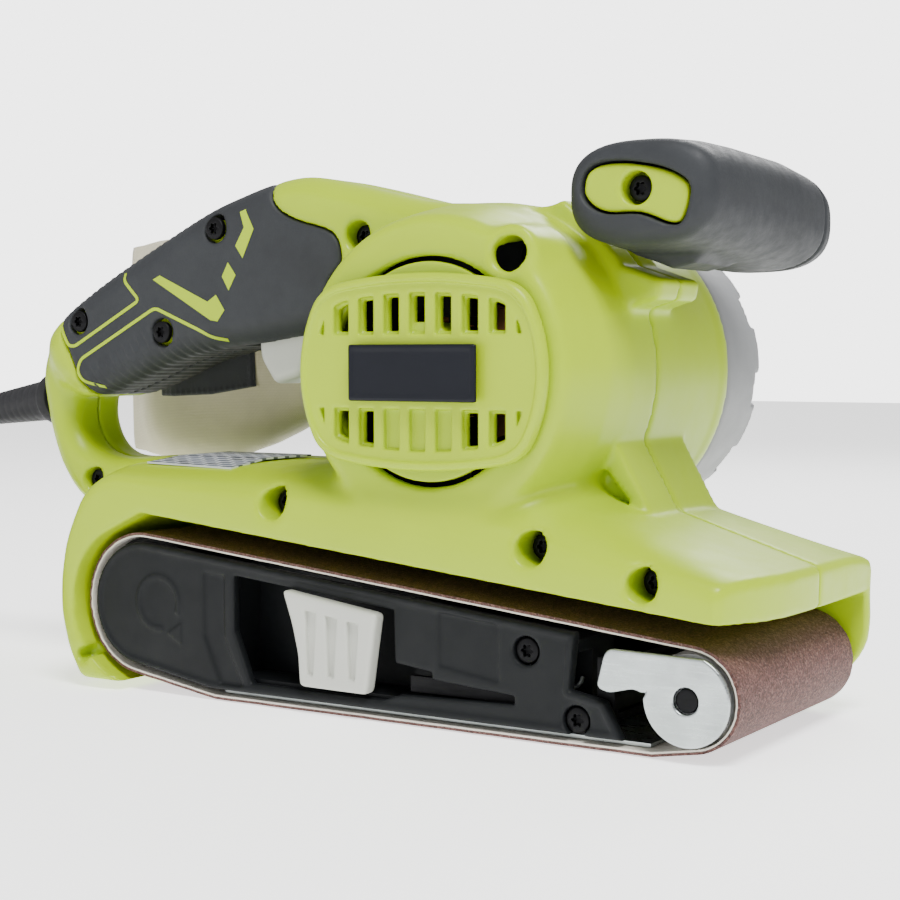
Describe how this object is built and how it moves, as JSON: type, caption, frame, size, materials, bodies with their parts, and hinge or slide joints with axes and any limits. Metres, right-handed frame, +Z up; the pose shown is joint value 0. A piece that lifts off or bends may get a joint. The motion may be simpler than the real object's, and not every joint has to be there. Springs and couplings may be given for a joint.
{
  "type": "belt sander",
  "caption": "Corded handheld belt sander with a transverse motor, rear loop handle, front grip, open near belt side, tension lever and dust bag.",
  "frame": {"origin": "on the sole plane, the underside of the belt's flat run, midway between the two rollers and at the middle of the belt's width", "axes": "+X forward, towards the front grip; +Y to the operator's left, the drive-belt side; +Z up, away from the work"},
  "size_m": [0.4089, 0.1754, 0.1516],
  "materials": {
    "lime_plastic": "moulded lime plastic, satin",
    "soft_grip": "soft grip overmould, matt",
    "black_plastic": "glass-filled black plastic",
    "grey_plastic": "grey moulded plastic",
    "light_grey_plastic": "light grey moulded plastic",
    "zinc_steel": "zinc-plated steel",
    "cast_aluminium": "die-cast and machined aluminium",
    "copper_winding": "copper windings under varnish, on a steel core",
    "abrasive_cloth": "brown aluminium oxide abrasive on cloth",
    "black_rubber": "matt rubber",
    "bag_cloth": "woven dust-bag cloth",
    "cork_pad": "graphite and cork pad",
    "blade_brass": "plain brass"
  },
  "bodies": {
    "frame": {"housing_right": "lime_plastic", "housing_left": "lime_plastic", "grip_right": "soft_grip", "grip_left": "soft_grip", "front_grip": "soft_grip", "front_grip_insert": "lime_plastic", "motor_cover": "lime_plastic", "badge_plate": "black_plastic", "drive_belt_cover": "grey_plastic", "sanding_belt": "abrasive_cloth", "side_frame": "black_plastic", "base_frame": "cast_aluminium", "platen_plate": "zinc_steel", "platen_pad": "cork_pad", "drum_bearing": "zinc_steel", "tension_spring": "zinc_steel", "stator": "zinc_steel", "motor_bearing_near": "zinc_steel", "motor_bearing_far": "zinc_steel", "brush_ring": "black_plastic", "carbon_brush_upper": "black_plastic", "carbon_brush_lower": "black_plastic", "drive_belt": "black_rubber", "switch_body": "black_plastic", "strain_relief": "black_rubber", "power_cord": "black_rubber", "cord_coil": "black_rubber", "cord_tail": "black_rubber", "plug_body": "black_plastic", "plug_blades": "blade_brass", "dust_port": "black_plastic", "deck_label": "grey_plastic", "screw_handle_front": "zinc_steel", "screw_barrel_top": "zinc_steel", "screw_deck_rear": "zinc_steel", "screw_deck_front": "zinc_steel", "screw_nose": "zinc_steel", "screw_leg_foot": "zinc_steel", "screw_grip_front": "zinc_steel", "screw_grip_middle": "zinc_steel", "screw_grip_rear": "zinc_steel", "screw_frame_1": "zinc_steel", "screw_frame_2": "zinc_steel", "screw_front_grip": "zinc_steel"},
    "tension_lever": {"tension_lever": "light_grey_plastic"},
    "yoke": {"roller_yoke": "zinc_steel", "roller_axle": "zinc_steel", "tension_link": "zinc_steel"},
    "front_roller": {"front_roller": "cast_aluminium"},
    "drum": {"rear_drum": "black_rubber", "drum_shaft": "zinc_steel", "large_pulley": "cast_aluminium"},
    "rotor": {"armature": "copper_winding", "cooling_fan": "black_plastic", "small_pulley": "zinc_steel"},
    "tracking_knob": {"tracking_knob": "black_plastic"},
    "trigger": {"trigger": "light_grey_plastic"},
    "lock_on_button": {"lock_on_button": "black_plastic"},
    "dust_bag": {"bag_collar": "black_plastic", "dust_bag": "bag_cloth"}
  },
  "joints": [
    {"name": "tension_lever_swing", "type": "hinge", "parent": "frame", "child": "tension_lever", "pos_m": [-0.004, -0.0372, 0.018], "axis": [0, 0, 1], "range_deg": [0, 100]},
    {"name": "yoke_slide", "type": "slide", "parent": "frame", "child": "yoke", "axis": [-1, 0, 0], "range_m": [0, 0.0055]},
    {"name": "front_roller_spin", "type": "hinge", "parent": "yoke", "child": "front_roller", "pos_m": [0.0873, 0, 0.015], "axis": [0, 1, 0], "continuous": true},
    {"name": "rear_drum_spin", "type": "hinge", "parent": "frame", "child": "drum", "pos_m": [-0.0873, 0, 0.0252], "axis": [0, 1, 0], "continuous": true},
    {"name": "motor_spin", "type": "hinge", "parent": "frame", "child": "rotor", "pos_m": [0.0132, 0, 0.0932], "axis": [0, 1, 0], "continuous": true},
    {"name": "tracking_knob_turn", "type": "hinge", "parent": "frame", "child": "tracking_knob", "pos_m": [0.072, 0.048, 0.024], "axis": [0, 1, 0], "range_deg": [-180, 180]},
    {"name": "trigger_pull", "type": "hinge", "parent": "frame", "child": "trigger", "pos_m": [-0.0505, 0.004, 0.1075], "axis": [0, 1, 0], "range_deg": [0, 8], "stiffness_Nm_per_rad": 0.5, "springref_deg": -17.19},
    {"name": "lock_on_press", "type": "slide", "parent": "frame", "child": "lock_on_button", "axis": [0, -1, 0], "range_m": [0, 0.003], "stiffness_N_per_m": 600, "springref_m": -0.003},
    {"name": "dust_bag_pull_off", "type": "slide", "parent": "frame", "child": "dust_bag", "axis": [-1, 0, 0], "range_m": [0, 0.04]}
  ],
  "couplings": [
    {"joint": "tension_lever_swing", "follows": "yoke_slide", "rad_per_m": 317.3},
    {"joint": "rear_drum_spin", "follows": "motor_spin", "ratio": 0.613},
    {"joint": "front_roller_spin", "follows": "motor_spin", "ratio": 0.983}
  ]
}
